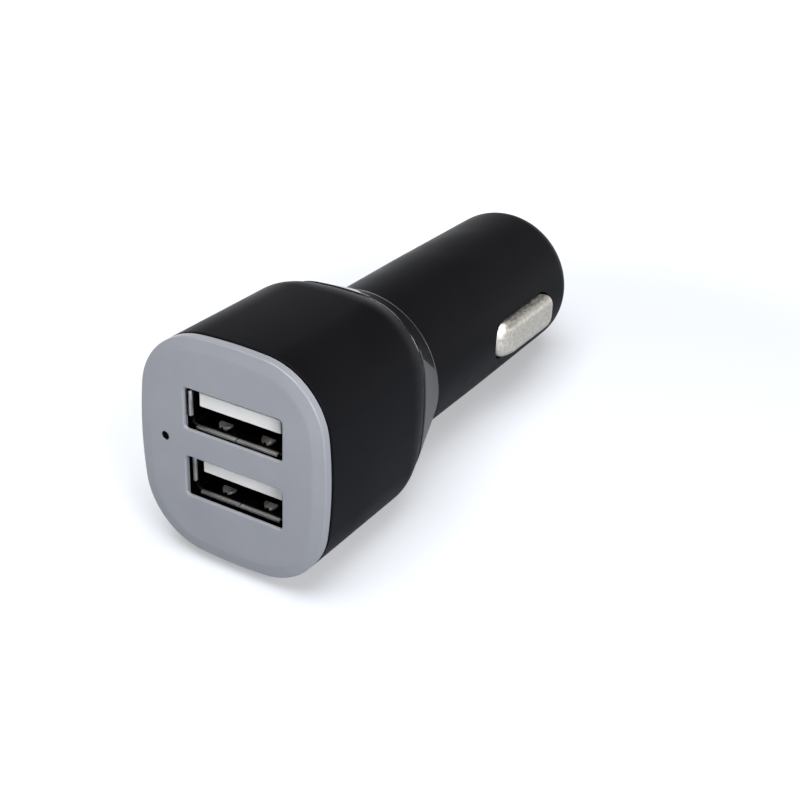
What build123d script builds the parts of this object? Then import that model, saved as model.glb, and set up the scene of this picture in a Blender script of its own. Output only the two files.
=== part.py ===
from build123d import *
import math
import os

# Twin USB charger plug for a car's accessory socket. Millimetres.
# The plug is modelled about its own axis: +Y runs from the face to the nose, +X is to the right of
# someone facing the sockets, +Z is up, and y = 0 is the parting line between plate and housing.
# At the end it is laid down as it rests on a table, on the underside of its head and on its nose.

# Outline of the head: bowed sides, each turning through its bow both ways, and round corners
face_width = 26.0
face_height = 28.2
corner_radius = 8.8
side_bow = 6.46
top_bow = 4.53

# Faceplate
plate_proud = 1.4
crown_width = 1.6
crown_drop = 0.25
plate_edge_round = 0.35
lip_depth = 2.5
lip_wall = 0.9
shadow_gap = 0.25
fixed_gap = 0.15

# Socket windows in the plate, and the indicator hole
port_x = 0.5
port_z = 0.45
port_pitch = 8.8
window_width = 13.6
window_height = 5.2
window_corner = 0.5
window_round = 0.2
window_web = 0.35
indicator_inset = 3.8
indicator_z = 0.3
indicator_hole = 1.1

# Head housing
head_length = 21.0
shoulder_length = 3.6
shoulder_inset = 0.8
shoulder_shares = (0, 0.4, 0.75, 1)
rear_corner_radius = 9.2
mouth_wall = 1.5
bay_wall = 1.9
rear_wall = 2.3
post_radius = 1.5
post_inset = 1.2

# Trim ring, squared like the head in front and round behind
ring_proud = 0.1
ring_rear_radius = 11.14
ring_length = 5.73
ring_edge = 0.25

# Barrel
barrel_radius = 10.38
nose_radius = 10.2
barrel_length = 42.27
barrel_wall = 1.95
nose_round = 4.5
nose_flat_radius = 4.6
nose_wall = 3.9
spigot_step = 0.38
spigot_gap = 1.03
snap_height = 0.35
snap_length = 0.9
snap_slot_width = 1.2
snap_slot_length = 4.6

# Sprung tip contact
tip_radius = 2.9
tip_reach = 5.0
tip_round = 2.4
tip_travel = 3.5
tip_stub_radius = 2.2
tip_stub_length = 2.2
flange_radius = 4.2
flange_thickness = 1.0
guide_wall = 0.7
guide_length = 4.5
running_gap = 0.05
slide_gap = 0.3

# Tip spring and its terminal
spring_length = 7.6
spring_radius = 3.3
spring_wire = 0.5
spring_turns = 4
wire_sides = 8
cup_wall = 0.4
cup_depth = 1.4
tail_width = 3.0
tail_length = 5.9

# Side contacts, formed from strip
contact_start = 43.8
contact_length = 16.3
contact_width = 5.0
contact_reach = 1.2
contact_round = 0.8
contact_drop = 1.5
near_ramp = 4.0
far_ramp = 2.2
near_corner = 1.2
far_corner = 2.2
strip_thickness = 0.4
strip_width = 3.4
strip_inset = 0.7
flange_margin = 0.4
strip_root = 24.0
lug_width = 2.2
lug_reach = 2.9
window_clearance = 0.35

# Circuit boards
board_thickness = 1.2
front_board_depth = 12.6
board_height = -2.0
wide_board_width = 17.2
wide_board_length = 9.2
narrow_board_width = 10.8
tab_width = 8.0
board_gap = 0.1
groove_gap = 0.15

# USB sockets
socket_recess = {"upper": 0.75, "lower": 1.15}
socket_lift = 0.3
shell_width = 13.1
shell_height = 5.72
shell_sheet = 0.3
shell_bend = 0.6
pocket_gap = 0.85
flare_depth = 0.45
side_flare = 0.15
side_lip_length = 3.2
floor_flare = 0.1
floor_lip_length = 11.2
seam_gap = 0.15
finger_offset = 3.0
finger_width = 1.8
finger_start = 1.3
finger_knee = 2.2
finger_root = 7.0
finger_rise = 0.2
finger_slot_gap = 0.3
lock_tab_width = 1.5
lock_tab_length = 2.2
insulator_base = 2.8
insulator_gap = 0.1
tongue_width = 11.3
tongue_thickness = 1.84
tongue_drop = 1.1
tongue_setback = 0.6
tongue_chamfer = 0.12
contact_pitches = (-3.5, -1.0, 1.0, 3.5)
pin_width = 0.9
pin_thickness = 0.25
pin_setback = 0.8
pin_tail = 1.0

# Parts on the boards, in a row along the main board
first_part_gap = 1.95
part_gap = 1.0
led_radius = 1.0
led_length = 2.5
led_rim = 0.25
led_rim_length = 0.6
led_nose_depth = 0.9
led_nose_round = 0.7
led_leg = 0.4
led_leg_pitch = 1.2
led_tail = 0.6
inductor_radius = 3.9
inductor_height = 5.0
inductor_flange = 0.8
inductor_hub = 1.8
winding_radius = 3.5
capacitor_radius = 3.15
capacitor_height = 7.7
capacitor_round = 0.5
crimp_depth = 0.3
crimp_height = 1.2
chip_length = 4.9
chip_width = 3.9
chip_height = 1.5
chip_pitch = 1.27
chip_legs_a_side = 4
leg_width = 0.42
leg_reach = 1.05
leg_sheet = 0.2
leg_height = 0.75
diode_length = 4.3
diode_width = 2.6
diode_height = 2.1
diode_strap = 0.25
diode_strap_width = 1.5
small_length = 1.6
small_width = 0.8
resistor_height = 0.45
small_capacitor_height = 0.8
small_row_x = 6.4
resistor_offsets = (2.2, 4.0)
small_capacitor_offsets = (5.8, 7.6)

# Places worked out from the sizes above
half_width = face_width / 2
half_height = face_height / 2
indicator_x = indicator_inset - half_width
shoulder_start = head_length - shoulder_length
ring_end = head_length + ring_length
nose_start = ring_end + barrel_length - nose_round
nose_end = ring_end + barrel_length
bore_radius = barrel_radius - barrel_wall
spigot_radius = barrel_radius - spigot_step
rear_wall_start = head_length - rear_wall
cavity_end = nose_end - nose_wall
guide_hole = tip_radius + running_gap
guide_bore = flange_radius + slide_gap
flange_end = cavity_end - running_gap
flange_start = flange_end - flange_thickness
tip_end = nose_end + tip_reach
tip_flat_radius = tip_radius - tip_round
cup_floor = flange_start - running_gap - spring_length
cup_back = cup_floor - cup_wall
cup_radius = spring_radius + spring_wire / 2 + fixed_gap
board_back = front_board_depth + board_thickness
spigot_start = board_back + spigot_gap
board_top = board_height + board_thickness / 2
board_bottom = board_height - board_thickness / 2
strip_outer = bore_radius - strip_inset
strip_inner = strip_outer - strip_thickness
contact_end = contact_start + contact_length
contact_middle = (contact_start + contact_end) / 2
contact_crown = barrel_radius + contact_reach
web_back = window_web - plate_proud
tongue_z = shell_height / 2 - shell_sheet - tongue_drop - tongue_thickness / 2
pin_z = tongue_z - tongue_thickness / 2 - pin_thickness / 2
pin_end = board_back + pin_tail
output_capacitor_depth = board_back + first_part_gap + capacitor_radius
chip_depth = output_capacitor_depth + capacitor_radius + part_gap + chip_length / 2
inductor_depth = chip_depth + chip_length / 2 + part_gap + inductor_radius
diode_depth = inductor_depth + inductor_radius + part_gap + diode_width / 2
input_capacitor_depth = diode_depth + diode_width / 2 + part_gap + capacitor_radius


def across(depth):
    # Plane square to the plug's axis, seen as from the front: sketch x is right, sketch y is up
    return Plane(origin=(0, depth, 0), x_dir=(1, 0, 0), z_dir=(0, -1, 0))


def prism(sketch, start, end):
    return extrude(across(start) * sketch, amount=start - end)


def outline(inset=0.0, width=half_width, height=half_height, corner=corner_radius):
    # Eight tangent arcs. The bows are fixed angles, so two linear conditions of tangency say how much
    # larger the side and top arcs are than the corner arcs. An inset gives the parallel outline, and
    # width, height and corner of one size give a circle.
    side = math.radians(side_bow)
    top = math.radians(top_bow)
    across_room = width - corner
    upward_room = height - corner
    share = math.sin(side) * math.sin(top) - (1 - math.cos(side)) * (1 - math.cos(top))
    side_excess = (upward_room * math.sin(top) - across_room * (1 - math.cos(top))) / share
    top_excess = (across_room * math.sin(side) - upward_room * (1 - math.cos(side))) / share
    radius = corner - inset
    side_x = across_room - side_excess
    top_y = upward_room - top_excess
    corner_x = top_excess * math.sin(top)
    corner_y = side_excess * math.sin(side)
    corner_turn = 90 - side_bow - top_bow
    arcs = []
    for half_turn in (0, 180):
        flip = 1 if half_turn == 0 else -1
        side_end = half_turn + side_bow
        top_end = half_turn + 90 + top_bow
        near_corner = (flip * corner_x, flip * corner_y)
        far_corner = (-flip * corner_x, flip * corner_y)
        arcs.append(CenterArc((flip * side_x, 0), radius + side_excess, half_turn - side_bow, 2 * side_bow))
        arcs.append(CenterArc(near_corner, radius, side_end, corner_turn))
        arcs.append(CenterArc((0, flip * top_y), radius + top_excess, side_end + corner_turn, 2 * top_bow))
        arcs.append(CenterArc(far_corner, radius, top_end, corner_turn))
    return make_face(Wire(arcs))


def turned(*profile):
    # Body of revolution about the plug's axis, from (radius, depth) points
    return revolve(make_face(Polyline(*profile, close=True)), axis=Axis.Y)


def standing(radius, bottom, top, depth, x=0.0):
    # Round part standing on the main board
    size = Cylinder(radius, top - bottom, align=(Align.CENTER, Align.CENTER, Align.MIN))
    return Pos(x, depth, bottom) * size


def block(width, length, height, x, depth, bottom):
    # Box standing on the main board, centred on x and depth
    size = Box(width, length, height, align=(Align.CENTER, Align.CENTER, Align.MIN))
    return Pos(x, depth, bottom) * size


def socket_centre(name):
    side = 1 if name == "upper" else -1
    return port_x, port_z + side * port_pitch / 2 + socket_lift


def socket_front(name):
    return socket_recess[name] - plate_proud


def faceplate():
    rim = crown_drop - plate_proud
    crown_faces = [across(rim) * outline(), across(-plate_proud) * outline(crown_width)]
    plate = prism(outline(), rim, 0) + loft(crown_faces, ruled=True)
    rim_edge = plate.edges().filter_by_position(Axis.Y, rim - 0.01, rim + 0.01)
    plate = fillet(rim_edge, plate_edge_round)
    lip_inset = mouth_wall + fixed_gap
    lip = outline(lip_inset) - outline(lip_inset + lip_wall)
    plate += prism(lip, 0, lip_depth)
    for name in socket_recess:
        x, z = socket_centre(name)
        window = RectangleRounded(window_width, window_height, window_corner)
        pocket = Rectangle(shell_width + 2 * pocket_gap, shell_height + 2 * pocket_gap)
        plate -= prism(Pos(x, z - socket_lift) * window, -plate_proud, 0)
        plate -= prism(Pos(x, z) * pocket, web_back, 0)
    front = plate.faces().sort_by(Axis.Y)[0]
    plate = fillet(front.inner_wires().edges(), window_round)
    hole = Pos(indicator_x, indicator_z)
    plate -= prism(hole * Circle(indicator_hole / 2), -plate_proud, 0)
    plate -= prism(hole * Circle(led_radius + fixed_gap), -led_nose_depth - fixed_gap, 0)
    return plate


def head_size(depth):
    # The head keeps its outline to the shoulder, then draws in and grows rounder towards the ring
    turn = max(0.0, depth - shoulder_start) / shoulder_length
    inset = shoulder_inset * turn * turn
    corner = corner_radius + (rear_corner_radius - corner_radius) * turn * turn
    return half_width - inset, half_height - inset, corner


def head_section(depth):
    return across(depth) * outline(0, *head_size(depth))


def head_housing():
    shoulder = []
    for share in shoulder_shares:
        shoulder.append(head_section(shoulder_start + share * shoulder_length))
    body = prism(outline(), shadow_gap, shoulder_start) + loft(shoulder)
    ledge = lip_depth
    body -= prism(outline(mouth_wall), 0, ledge)
    bay = prism(outline(bay_wall), ledge, rear_wall_start)
    for x in (-1, 1):
        for z in (-1, 1):
            place = Pos(x * (half_width - bay_wall - post_radius - post_inset / 2),
                        z * (half_height - bay_wall - post_radius - post_inset / 2))
            bay -= prism(place * Circle(post_radius), board_back, rear_wall_start)
    body -= bay
    return body - prism(Circle(spigot_radius + running_gap), rear_wall_start, head_length)


def trim_ring():
    rear_size = head_size(head_length)
    round_size = (ring_rear_radius, ring_rear_radius, ring_rear_radius)
    sections = [
        across(head_length) * outline(ring_edge - ring_proud, *rear_size),
        across(head_length + ring_edge) * outline(-ring_proud, *rear_size),
        across(ring_end - ring_edge) * outline(0, *round_size),
        across(ring_end) * outline(ring_edge, *round_size),
    ]
    return loft(sections, ruled=True) - prism(Circle(spigot_radius + running_gap), head_length, ring_end)


def contact_opening(clearance, bottom, top):
    # Cut or pad on the right side of the barrel, drawn looking in along -X, rounder at its far end
    plane = Plane(origin=(bottom, contact_middle, 0), x_dir=(0, 1, 0), z_dir=(1, 0, 0))
    plan = Rectangle(contact_length + 2 * clearance, contact_width + 2 * clearance)
    plan = fillet(plan.vertices().sort_by(Axis.X)[:2], near_corner + clearance)
    plan = fillet(plan.vertices().sort_by(Axis.X)[-2:], far_corner + clearance)
    return extrude(plane * plan, amount=top - bottom)


def contact_arch(inset):
    # Side view of a contact, drawn looking down: a level crown that falls to both ends in round ramps
    crown = contact_crown - inset
    near_radius = (near_ramp ** 2 + contact_drop ** 2) / (2 * contact_drop)
    far_radius = (far_ramp ** 2 + contact_drop ** 2) / (2 * contact_drop)
    crown_start = contact_start + near_ramp
    crown_end = contact_end - far_ramp
    near_turn = math.degrees(math.asin(near_ramp / near_radius))
    far_turn = math.degrees(math.asin(far_ramp / far_radius))
    near_centre = (contact_crown - near_radius, crown_start)
    far_centre = (contact_crown - far_radius, crown_end)
    near_arc = CenterArc(near_centre, near_radius - inset, -near_turn, near_turn)
    far_arc = CenterArc(far_centre, far_radius - inset, 0, far_turn)
    level = Line((crown, crown_start), (crown, crown_end))
    back = Polyline(far_arc @ 1, (strip_inner, contact_end), (strip_inner, contact_start), near_arc @ 0)
    face = make_face(near_arc + level + far_arc + back)
    return extrude(face, amount=contact_width, both=True)


def contact_pad(inset):
    # Pressed-out pad: rounded along its long edges, arched along its length
    plane = Plane(origin=(0, contact_start, 0), x_dir=(1, 0, 0), z_dir=(0, 1, 0))
    across_length = contact_width - 2 * inset
    depth = 2 * (contact_crown - inset - strip_inner)
    section = Pos(strip_inner, 0) * RectangleRounded(depth, across_length, contact_round - inset)
    long_round = extrude(plane * section, amount=contact_length)
    return contact_opening(-inset, strip_inner, contact_crown) & contact_arch(inset) & long_round


def barrel():
    bead_start = rear_wall_start - running_gap - snap_length
    bead_end = rear_wall_start - running_gap
    outside = Polyline(
        (bore_radius, spigot_start),
        (spigot_radius, spigot_start),
        (spigot_radius, bead_start),
        (spigot_radius + snap_height, bead_end),
        (spigot_radius, bead_end),
        (spigot_radius, ring_end),
        (barrel_radius, ring_end),
        (barrel_radius, contact_start),
        (nose_radius, nose_start),
    )
    nose_centre = (nose_flat_radius, nose_start)
    nose_width = nose_radius - nose_flat_radius
    nose = EllipticalCenterArc(nose_centre, nose_width, nose_round, start_angle=0, arc_size=90)
    inside = Polyline(
        (nose_flat_radius, nose_end),
        (guide_hole, nose_end),
        (guide_hole, cavity_end),
        (guide_bore, cavity_end),
        (guide_bore, cavity_end - guide_length),
        (guide_bore + guide_wall, cavity_end - guide_length),
        (guide_bore + guide_wall, cavity_end),
        (bore_radius, cavity_end),
        (bore_radius, spigot_start),
    )
    tube = revolve(make_face(outside + nose + inside), axis=Axis.Y)
    right_window = contact_opening(window_clearance, strip_outer, barrel_radius + contact_reach)
    tube -= right_window + mirror(right_window, about=Plane.YZ)
    groove_height = board_thickness + 2 * board_gap
    groove_length = board_back + wide_board_length + groove_gap - spigot_start
    groove_width = wide_board_width + 2 * groove_gap
    tube -= block(groove_width, groove_length, groove_height, 0, spigot_start + groove_length / 2,
                  board_bottom - board_gap)
    slot = Rectangle(snap_slot_width, 2 * spigot_radius + 2 * snap_height)
    for angle in (45, 135):
        tube -= prism(Rot(0, 0, angle) * slot, spigot_start, spigot_start + snap_slot_length)
    return tube


def side_contact_right():
    seat = contact_opening(flange_margin, strip_inner, strip_outer)
    leaf_length = contact_start - strip_root
    leaf = Pos(strip_inner + strip_thickness / 2, strip_root + leaf_length / 2, 0)
    strip = seat + leaf * Box(strip_thickness, leaf_length, strip_width)
    lug = block(lug_reach, lug_width, strip_thickness, strip_outer - lug_reach / 2,
                strip_root + lug_width / 2, board_top + board_gap)
    return contact_pad(0) + strip + lug - contact_pad(strip_thickness)


def tip_contact():
    shank = Polyline(
        (0, flange_start - tip_stub_length),
        (tip_stub_radius, flange_start - tip_stub_length),
        (tip_stub_radius, flange_start),
        (flange_radius, flange_start),
        (flange_radius, flange_end),
        (tip_radius, flange_end),
        (tip_radius, tip_end - tip_round),
    )
    dome = CenterArc((tip_flat_radius, tip_end - tip_round), tip_round, 0, 90)
    axis_line = Polyline((tip_flat_radius, tip_end), (0, tip_end), (0, flange_start - tip_stub_length))
    return revolve(make_face(shank + dome + axis_line), axis=Axis.Y)


def tip_spring():
    rise = spring_length - spring_wire - 2 * running_gap
    start = cup_floor + spring_wire / 2 + running_gap
    coil = Helix(rise / spring_turns, rise, spring_radius, center=(0, start, 0), direction=(0, 1, 0))
    return sweep((coil ^ 0) * RegularPolygon(spring_wire / 2, wire_sides), path=coil, is_frenet=True)


def spring_terminal():
    rim = cup_floor + cup_depth
    cup = turned((0, cup_back), (cup_radius + cup_wall, cup_back), (cup_radius + cup_wall, rim),
                 (cup_radius, rim), (cup_radius, cup_floor), (0, cup_floor))
    return cup + block(tail_width, tail_length, cup_wall, 0, cup_back - tail_length / 2, board_top)


def main_board():
    wide_end = board_back + wide_board_length
    half_wide = wide_board_width / 2
    half_narrow = narrow_board_width / 2
    half_tab = tab_width / 2
    right_edge = [(half_tab, front_board_depth), (half_tab, board_back), (half_wide, board_back),
                  (half_wide, wide_end), (half_narrow, wide_end), (half_narrow, cup_back)]
    left_edge = [(-x, y) for x, y in reversed(right_edge)]
    outline = make_face(Polyline(*right_edge, *left_edge, close=True))
    return extrude(Plane.XY.offset(board_bottom) * outline, amount=board_thickness)


def socket_tails(name, gap=0.0):
    # Sketch of a socket's pins and lock tabs where they pass through the front board
    x, z = socket_centre(name)
    tails = Sketch()
    for pitch in contact_pitches:
        tails += Pos(x + pitch, z + pin_z) * Rectangle(pin_width + 2 * gap, pin_thickness + 2 * gap)
    for side in (-1, 1):
        tab_x = x + side * (shell_width - shell_sheet) / 2
        tails += Pos(tab_x, z) * Rectangle(shell_sheet + 2 * gap, lock_tab_width + 2 * gap)
    return tails


def led_legs(gap=0.0):
    legs = Sketch()
    for side in (-1, 1):
        place = Pos(indicator_x + side * led_leg_pitch / 2, indicator_z)
        legs += place * Rectangle(led_leg + 2 * gap, led_leg + 2 * gap)
    return legs


def front_board():
    board = outline(bay_wall + fixed_gap)
    for name in socket_recess:
        board -= socket_tails(name, board_gap)
    board -= led_legs(board_gap)
    board -= Pos(0, board_height) * Rectangle(tab_width + 2 * board_gap, board_thickness + 2 * board_gap)
    return prism(board, front_board_depth, board_back)


def flared_lip(outward, base, flare, length, front):
    # Tab of the shell's sheet, bent away from the socket's axis at its mouth
    profile = Polyline(
        (base - shell_sheet, front + flare_depth),
        (base, front + flare_depth),
        (base + flare, front),
        (base + flare - shell_sheet, front),
        close=True)
    plane = Plane(origin=(0, 0, 0), x_dir=outward, z_dir=Vector(outward).cross(Vector(0, 1, 0)))
    return extrude(plane * make_face(profile), amount=length / 2, both=True)


def spring_finger(side, front, floor):
    # Tongue of the shell's floor, rising to a crest near its round free end
    under = floor - shell_sheet
    profile = Polyline(
        (front + finger_root, under),
        (front + finger_knee, under + finger_rise),
        (front + finger_start, under),
        (front + finger_start, floor),
        (front + finger_knee, floor + finger_rise),
        (front + finger_root, floor),
        close=True)
    plane = Plane(origin=(side * finger_offset, 0, 0), x_dir=(0, 1, 0), z_dir=(1, 0, 0))
    strip = extrude(plane * make_face(profile), amount=finger_width / 2, both=True)
    length = finger_root - finger_start + finger_width
    middle = Pos(side * finger_offset, front + finger_start + length / 2)
    plan = middle * Rot(0, 0, 90) * SlotOverall(length, finger_width)
    return strip & extrude(Plane.XY.offset(under) * plan, amount=shell_sheet + finger_rise)


def usb_shell(name):
    x, z = socket_centre(name)
    front = socket_front(name)
    outer = RectangleRounded(shell_width, shell_height, shell_bend)
    inner_width = shell_width - 2 * shell_sheet
    inner_height = shell_height - 2 * shell_sheet
    inner = RectangleRounded(inner_width, inner_height, shell_bend - shell_sheet)
    shell = prism(outer - inner, front + flare_depth, front_board_depth)
    floor = shell_sheet - shell_height / 2
    for side in (-1, 1):
        shell += flared_lip((side, 0, 0), shell_width / 2, side_flare, side_lip_length, front)
        shell += flared_lip((0, 0, side), shell_height / 2, floor_flare, floor_lip_length, front)
    seam = Pos(0, floor - floor_flare) * Rectangle(seam_gap, 4 * shell_sheet)
    shell -= prism(seam, front, front_board_depth)
    slot_start = finger_start - finger_slot_gap
    slot_width = finger_width + 2 * finger_slot_gap
    for side in (-1, 1):
        slot = Pos(side * finger_offset, floor) * Rectangle(slot_width, 2 * shell_sheet)
        shell -= prism(slot, front + slot_start, front + finger_root)
        shell += spring_finger(side, front, floor)
        tab = Pos(side * (shell_width - shell_sheet) / 2, 0) * Rectangle(shell_sheet, lock_tab_width)
        shell += prism(tab, front_board_depth, front_board_depth + lock_tab_length)
    return Pos(x, 0, z) * shell


def usb_insulator(name):
    x, z = socket_centre(name)
    base_start = front_board_depth - insulator_base
    base_width = shell_width - 2 * shell_sheet - 2 * insulator_gap
    base_height = shell_height - 2 * shell_sheet - 2 * insulator_gap
    tongue_start = socket_front(name) + tongue_setback
    tongue = prism(Pos(0, tongue_z) * Rectangle(tongue_width, tongue_thickness), tongue_start, base_start)
    tongue = chamfer(tongue.faces().sort_by(Axis.Y)[0].edges(), tongue_chamfer)
    slots = Sketch()
    for pitch in contact_pitches:
        slots += Pos(pitch, pin_z) * Rectangle(pin_width + 2 * running_gap, pin_thickness)
    base = prism(Rectangle(base_width, base_height) - slots, base_start, front_board_depth)
    return Pos(x, 0, z) * (base + tongue)


def usb_contacts(name):
    x, z = socket_centre(name)
    start = socket_front(name) + tongue_setback + pin_setback
    pins = Part()
    for pitch in contact_pitches:
        pins += prism(Pos(x + pitch, z + pin_z) * Rectangle(pin_width, pin_thickness), start, pin_end)
    return pins


def indicator_led():
    lens = turned((0, -led_nose_depth), (led_radius, -led_nose_depth), (led_radius, led_length),
                  (led_radius + led_rim, led_length), (led_radius + led_rim, led_length + led_rim_length),
                  (0, led_length + led_rim_length))
    nose = lens.edges().filter_by(GeomType.CIRCLE).sort_by(Axis.Y)[0]
    lens = fillet(nose, led_nose_round)
    legs = prism(led_legs(), led_length + led_rim_length, board_back + led_tail)
    return Pos(indicator_x, 0, indicator_z) * lens + legs


def inductor_core():
    top = board_top + inductor_height
    foot = standing(inductor_radius, board_top, board_top + inductor_flange, inductor_depth)
    head = standing(inductor_radius, top - inductor_flange, top, inductor_depth)
    return foot + head + standing(inductor_hub, board_top, top, inductor_depth)


def inductor_winding():
    bottom = board_top + inductor_flange
    top = board_top + inductor_height - inductor_flange
    coil = standing(winding_radius, bottom, top, inductor_depth)
    return coil - standing(inductor_hub, bottom, top, inductor_depth)


def capacitor_can(depth):
    top = board_top + capacitor_height
    crimp = board_top + crimp_height
    profile = Polyline(
        (0, board_top),
        (capacitor_radius, board_top),
        (capacitor_radius, crimp - crimp_depth),
        (capacitor_radius - crimp_depth, crimp),
        (capacitor_radius, crimp + crimp_depth),
        (capacitor_radius, top - capacitor_round),
        (capacitor_radius - capacitor_round, top),
        (0, top),
        close=True)
    return Pos(0, depth, 0) * revolve(Plane.XZ * make_face(profile), axis=Axis.Z)


def converter_chip():
    body = block(chip_width, chip_length, chip_height - leg_sheet, 0, chip_depth, board_top + leg_sheet)
    for side in (-1, 1):
        edge = side * chip_width / 2
        toe = side * (chip_width / 2 + leg_reach)
        knee = side * (chip_width / 2 + leg_reach / 2)
        far_knee = knee + side * leg_sheet
        up = board_top + leg_height
        foot = board_top + leg_sheet
        leg = Polyline((edge, up), (knee, up), (knee, board_top), (toe, board_top), (toe, foot),
                       (far_knee, foot), (far_knee, up + leg_sheet), (edge, up + leg_sheet), close=True)
        for place in range(chip_legs_a_side):
            middle = chip_depth + (place - (chip_legs_a_side - 1) / 2) * chip_pitch
            plane = Plane(origin=(0, middle, 0), x_dir=(1, 0, 0), z_dir=(0, -1, 0))
            body += extrude(plane * make_face(leg), amount=leg_width / 2, both=True)
    return body


def rectifier_diode():
    body_height = diode_height - diode_strap
    body = block(diode_length, diode_width, body_height, 0, diode_depth, board_top + diode_strap)
    for side in (-1, 1):
        strap = block(diode_strap, diode_strap_width, diode_height / 2,
                      side * (diode_length + diode_strap) / 2, diode_depth, board_top)
        foot = block(diode_width / 2, diode_strap_width, diode_strap,
                     side * (diode_length / 2 + diode_strap - diode_width / 4), diode_depth, board_top)
        body += strap + foot
    return body


def small_parts(offsets, height):
    row = Part()
    for side in (-1, 1):
        for offset in offsets:
            depth = board_back + offset
            row += block(small_length, small_width, height, side * small_row_x, depth, board_top)
    return row


def lay_down(nodes):
    # The plug rests on the underside of its shoulder and on the start of its nose rounding
    dips = []
    for step in range(40):
        depth = shoulder_start + shoulder_length * step / 40
        dips.append(math.atan2(head_size(depth)[1] - nose_radius, nose_start - depth))
    dip = math.degrees(max(dips))
    tilted = {name: Rot(-dip, 0, 0) * node for name, node in nodes.items()}
    box = Compound(children=[Compound(node.solids()) for node in tilted.values()]).bounding_box()
    rest = Pos(-box.center().X, -box.center().Y, -box.min.Z)
    return {name: rest * node for name, node in tilted.items()}, rest * Rot(-dip, 0, 0)


def build_nodes():
    right_contact = side_contact_right()
    nodes = {
        "faceplate": faceplate(),
        "head_housing": head_housing(),
        "trim_ring": trim_ring(),
        "barrel": barrel(),
        "side_contact_right": right_contact,
        "side_contact_left": mirror(right_contact, about=Plane.YZ),
        "tip_contact": tip_contact(),
        "tip_spring": tip_spring(),
        "spring_terminal": spring_terminal(),
        "main_board": main_board(),
        "front_board": front_board(),
        "indicator_led": indicator_led(),
        "inductor_core": inductor_core(),
        "inductor_winding": inductor_winding(),
        "input_capacitor": capacitor_can(input_capacitor_depth),
        "output_capacitor": capacitor_can(output_capacitor_depth),
        "converter_chip": converter_chip(),
        "rectifier_diode": rectifier_diode(),
        "chip_resistors": small_parts(resistor_offsets, resistor_height),
        "chip_capacitors": small_parts(small_capacitor_offsets, small_capacitor_height),
    }
    for name in socket_recess:
        nodes["usb_shell_" + name] = usb_shell(name)
        nodes["usb_insulator_" + name] = usb_insulator(name)
        nodes["usb_contacts_" + name] = usb_contacts(name)
    return nodes


laid_nodes, placement = lay_down(build_nodes())
os.makedirs("parts", exist_ok=True)
for node_name, shape in laid_nodes.items():
    export_step(shape, "parts/" + node_name + ".step")
print("dip and place of the plug's own frame:", placement)
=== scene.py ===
import bpy
import bmesh
import math
from mathutils import Matrix, Vector


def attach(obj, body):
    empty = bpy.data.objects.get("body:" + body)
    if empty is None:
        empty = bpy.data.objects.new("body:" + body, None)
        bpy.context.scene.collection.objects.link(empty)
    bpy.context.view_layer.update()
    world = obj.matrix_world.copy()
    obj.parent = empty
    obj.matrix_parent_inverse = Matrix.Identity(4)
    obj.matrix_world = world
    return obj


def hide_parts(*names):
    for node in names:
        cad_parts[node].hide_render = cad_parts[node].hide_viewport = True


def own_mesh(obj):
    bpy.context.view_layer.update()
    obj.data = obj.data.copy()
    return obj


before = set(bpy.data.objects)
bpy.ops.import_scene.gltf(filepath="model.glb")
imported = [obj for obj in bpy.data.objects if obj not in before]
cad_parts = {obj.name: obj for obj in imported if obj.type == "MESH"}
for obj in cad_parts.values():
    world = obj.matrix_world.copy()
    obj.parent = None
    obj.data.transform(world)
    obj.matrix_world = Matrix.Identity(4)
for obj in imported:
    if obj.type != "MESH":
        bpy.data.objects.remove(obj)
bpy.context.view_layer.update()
print("stage: frame loaded")

# Every piece is drawn in millimetres in the plug's own frame: +Y from the face to the nose, +Z up,
# y = 0 at the parting line of plate and housing. This turn and shift lay it down in the row's frame.
mm = 0.001
dipDegrees = 4.76732
plugOrigin = Vector((0.0, -35.6799, 15.5378)) * mm
layTurn = Matrix.Rotation(math.radians(-dipDegrees), 4, "X")
toRow = Matrix.Translation(plugOrigin) @ layTurn @ Matrix.Scale(mm, 4)
# Turn and shift, in the row's frame, that put both sockets' mouths at depth 0
mouths = {"lean": 2.167, "front": 36.657}
# Noise seldom leaves this range, which is spread over the full one
noiseSpan = (0.32, 0.68)
# An edge that turns more than this is drawn crisp
sharpTurn = math.radians(32)


def hexColour(text):
    # sRGB hex to the linear values that a shader takes
    parts = [int(text[i:i + 2], 16) / 255 for i in (1, 3, 5)]
    return [p / 12.92 if p <= 0.04045 else ((p + 0.055) / 1.055) ** 2.4 for p in parts] + [1.0]


def addNode(tree, kind, settings=None, links=None):
    node = tree.nodes.new(kind)
    for key, value in (settings or {}).items():
        if isinstance(key, str) and hasattr(node, key):
            setattr(node, key, value)
        else:
            node.inputs[key].default_value = value
    for key, source in (links or {}).items():
        tree.links.new(source, node.inputs[key])
    return node


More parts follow.
